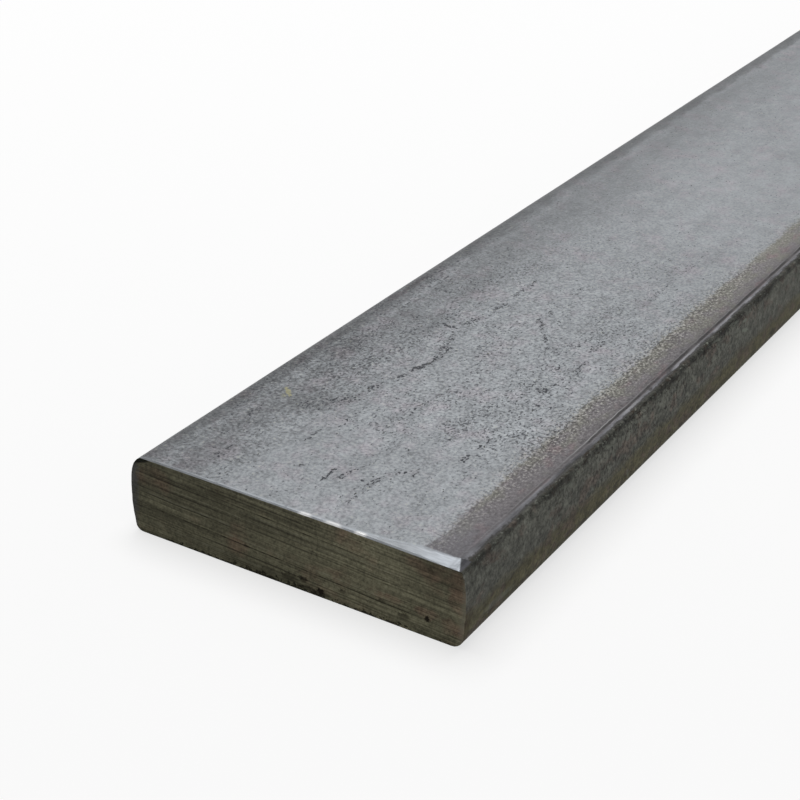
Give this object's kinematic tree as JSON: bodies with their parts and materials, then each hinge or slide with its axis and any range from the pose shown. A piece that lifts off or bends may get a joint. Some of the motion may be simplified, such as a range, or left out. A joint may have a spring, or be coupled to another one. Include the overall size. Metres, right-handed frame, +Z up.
{
  "type": "steel flat bar",
  "caption": "Solid hot rolled steel flat bar with swollen rolled sides, a low bead along one top edge and square sawn ends, for welding, drilling or cutting to size.",
  "frame": {"origin": "centre of the back face that the bar lies on, midway along its length", "axes": "+X along the length, away from the end with the filed corner; +Y across the width, towards the plain rolled side; +Z up through the thickness"},
  "size_m": [0.5, 0.045, 0.01],
  "materials": {
    "mill_scale_steel": "matt blue-grey mill scale on the rolled faces, brownish along one edge, dark olive saw-cut ends with fine saw lines"
  },
  "bodies": {
    "root": {"flat_bar": "mill_scale_steel"}
  },
  "joints": []
}
